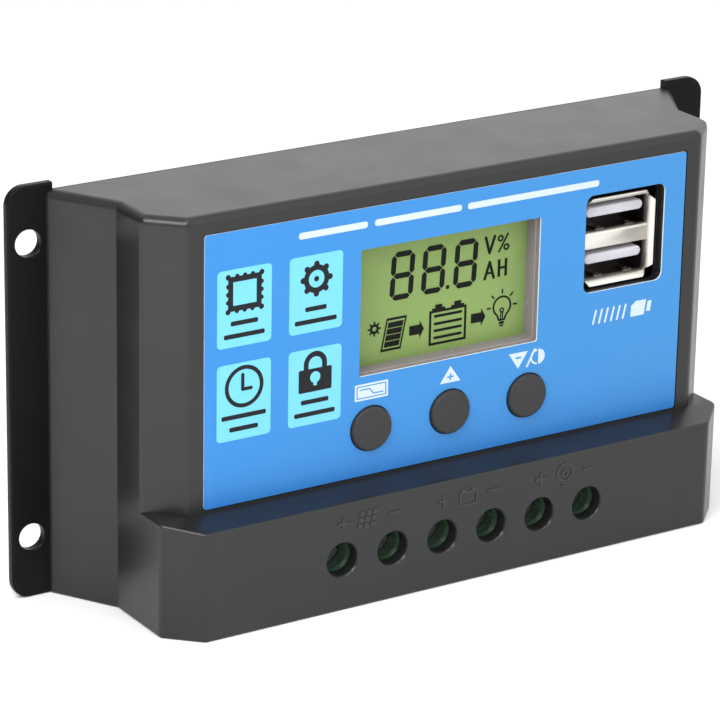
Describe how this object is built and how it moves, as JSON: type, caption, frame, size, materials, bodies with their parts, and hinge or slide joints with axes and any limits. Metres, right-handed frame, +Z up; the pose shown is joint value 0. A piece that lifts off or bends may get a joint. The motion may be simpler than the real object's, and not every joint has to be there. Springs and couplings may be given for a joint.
{
  "type": "solar charge controller",
  "caption": "Wall-mounted solar charge controller with a display, push buttons, stacked USB sockets and a row of clamp terminals along the bottom edge.",
  "frame": {"origin": "centre of the four wall holes, on the back plane that meets the wall", "axes": "+X along the width, to the right as seen from the front; +Y into the wall; +Z up"},
  "size_m": [0.15, 0.035, 0.077],
  "materials": {
    "case_plastic": "satin moulded black plastic",
    "label_film": "printed polycarbonate film",
    "plate_metal": "brushed sheet",
    "screw_steel": "zinc plated",
    "board_laminate": "solder mask",
    "bezel_plastic": "satin grey plastic",
    "lcd_green": "reflective display glass",
    "backlight_plastic": "white light guide",
    "tin": "tinned leads",
    "usb_metal": "nickel plated sheet",
    "usb_insert": "white plastic",
    "contact_gold": "gold plated",
    "switch_black": "black plastic",
    "button_plastic": "satin dark grey plastic",
    "terminal_green": "dark green plastic",
    "bar_copper": "copper alloy",
    "clamp_steel": "zinc plated",
    "epoxy_black": "moulded epoxy",
    "tab_metal": "plated copper tab",
    "pad_silicone": "silicone sheet",
    "can_sleeve": "shrink sleeve",
    "ferrite": "sintered ferrite",
    "winding_copper": "enamelled copper wire"
  },
  "bodies": {
    "case": {"front_case": "case_plastic", "front_label": "label_film", "back_plate": "plate_metal", "back_screws": "screw_steel", "main_board": "board_laminate", "board_screws": "screw_steel", "display_bezel": "bezel_plastic", "lcd_cell": "lcd_green", "lcd_backlight": "backlight_plastic", "lcd_pins": "tin", "usb_shell": "usb_metal", "usb_core": "usb_insert", "usb_contacts": "contact_gold", "switch_bases": "switch_black", "switch_covers": "tin", "switch_domes": "tin", "terminal_block": "terminal_green", "terminal_bars": "bar_copper", "mosfet_bodies": "epoxy_black", "mosfet_tabs": "tab_metal", "mosfet_leads": "tin", "thermal_pad": "pad_silicone", "capacitors": "can_sleeve", "choke_core": "ferrite", "choke_winding": "winding_copper", "control_chip": "epoxy_black", "chip_legs_row": "tin", "diodes": "epoxy_black", "diode_leads": "tin", "current_shunt": "bar_copper"},
    "menu_key": {"menu_button": "button_plastic", "menu_stem": "switch_black"},
    "up_key": {"up_button": "button_plastic", "up_stem": "switch_black"},
    "down_key": {"down_button": "button_plastic", "down_stem": "switch_black"},
    "screw_1": {"terminal_screw_1": "screw_steel"},
    "screw_2": {"terminal_screw_2": "screw_steel"},
    "screw_3": {"terminal_screw_3": "screw_steel"},
    "screw_4": {"terminal_screw_4": "screw_steel"},
    "screw_5": {"terminal_screw_5": "screw_steel"},
    "screw_6": {"terminal_screw_6": "screw_steel"},
    "clamp_1": {"clamp_cage_1": "clamp_steel"},
    "clamp_2": {"clamp_cage_2": "clamp_steel"},
    "clamp_3": {"clamp_cage_3": "clamp_steel"},
    "clamp_4": {"clamp_cage_4": "clamp_steel"},
    "clamp_5": {"clamp_cage_5": "clamp_steel"},
    "clamp_6": {"clamp_cage_6": "clamp_steel"}
  },
  "joints": [
    {"name": "menu_press", "type": "slide", "parent": "case", "child": "menu_key", "axis": [0, 1, 0], "range_m": [0, 0.0003], "stiffness_N_per_m": 400, "springref_m": -0.0005},
    {"name": "up_press", "type": "slide", "parent": "case", "child": "up_key", "axis": [0, 1, 0], "range_m": [0, 0.0003], "stiffness_N_per_m": 400, "springref_m": -0.0005},
    {"name": "down_press", "type": "slide", "parent": "case", "child": "down_key", "axis": [0, 1, 0], "range_m": [0, 0.0003], "stiffness_N_per_m": 400, "springref_m": -0.0005},
    {"name": "screw_1_turn", "type": "hinge", "parent": "case", "child": "screw_1", "pos_m": [-0.02645, -0.0238, -0.02925], "axis": [0, 1, 0], "range_deg": [0, 2160.5]},
    {"name": "screw_2_turn", "type": "hinge", "parent": "case", "child": "screw_2", "pos_m": [-0.01579, -0.0238, -0.02925], "axis": [0, 1, 0], "range_deg": [0, 2160.5]},
    {"name": "screw_3_turn", "type": "hinge", "parent": "case", "child": "screw_3", "pos_m": [-0.00513, -0.0238, -0.02925], "axis": [0, 1, 0], "range_deg": [0, 2160.5]},
    {"name": "screw_4_turn", "type": "hinge", "parent": "case", "child": "screw_4", "pos_m": [0.00553, -0.0238, -0.02925], "axis": [0, 1, 0], "range_deg": [0, 2160.5]},
    {"name": "screw_5_turn", "type": "hinge", "parent": "case", "child": "screw_5", "pos_m": [0.01619, -0.0238, -0.02925], "axis": [0, 1, 0], "range_deg": [0, 2160.5]},
    {"name": "screw_6_turn", "type": "hinge", "parent": "case", "child": "screw_6", "pos_m": [0.02685, -0.0238, -0.02925], "axis": [0, 1, 0], "range_deg": [0, 2160.5]},
    {"name": "clamp_1_rise", "type": "slide", "parent": "case", "child": "clamp_1", "axis": [0, -1, 0], "range_m": [0, 0.0042]},
    {"name": "clamp_2_rise", "type": "slide", "parent": "case", "child": "clamp_2", "axis": [0, -1, 0], "range_m": [0, 0.0042]},
    {"name": "clamp_3_rise", "type": "slide", "parent": "case", "child": "clamp_3", "axis": [0, -1, 0], "range_m": [0, 0.0042]},
    {"name": "clamp_4_rise", "type": "slide", "parent": "case", "child": "clamp_4", "axis": [0, -1, 0], "range_m": [0, 0.0042]},
    {"name": "clamp_5_rise", "type": "slide", "parent": "case", "child": "clamp_5", "axis": [0, -1, 0], "range_m": [0, 0.0042]},
    {"name": "clamp_6_rise", "type": "slide", "parent": "case", "child": "clamp_6", "axis": [0, -1, 0], "range_m": [0, 0.0042]}
  ],
  "couplings": [
    {"joint": "screw_1_turn", "follows": "clamp_1_rise", "rad_per_m": 8976},
    {"joint": "screw_2_turn", "follows": "clamp_2_rise", "rad_per_m": 8976},
    {"joint": "screw_3_turn", "follows": "clamp_3_rise", "rad_per_m": 8976},
    {"joint": "screw_4_turn", "follows": "clamp_4_rise", "rad_per_m": 8976},
    {"joint": "screw_5_turn", "follows": "clamp_5_rise", "rad_per_m": 8976},
    {"joint": "screw_6_turn", "follows": "clamp_6_rise", "rad_per_m": 8976}
  ]
}
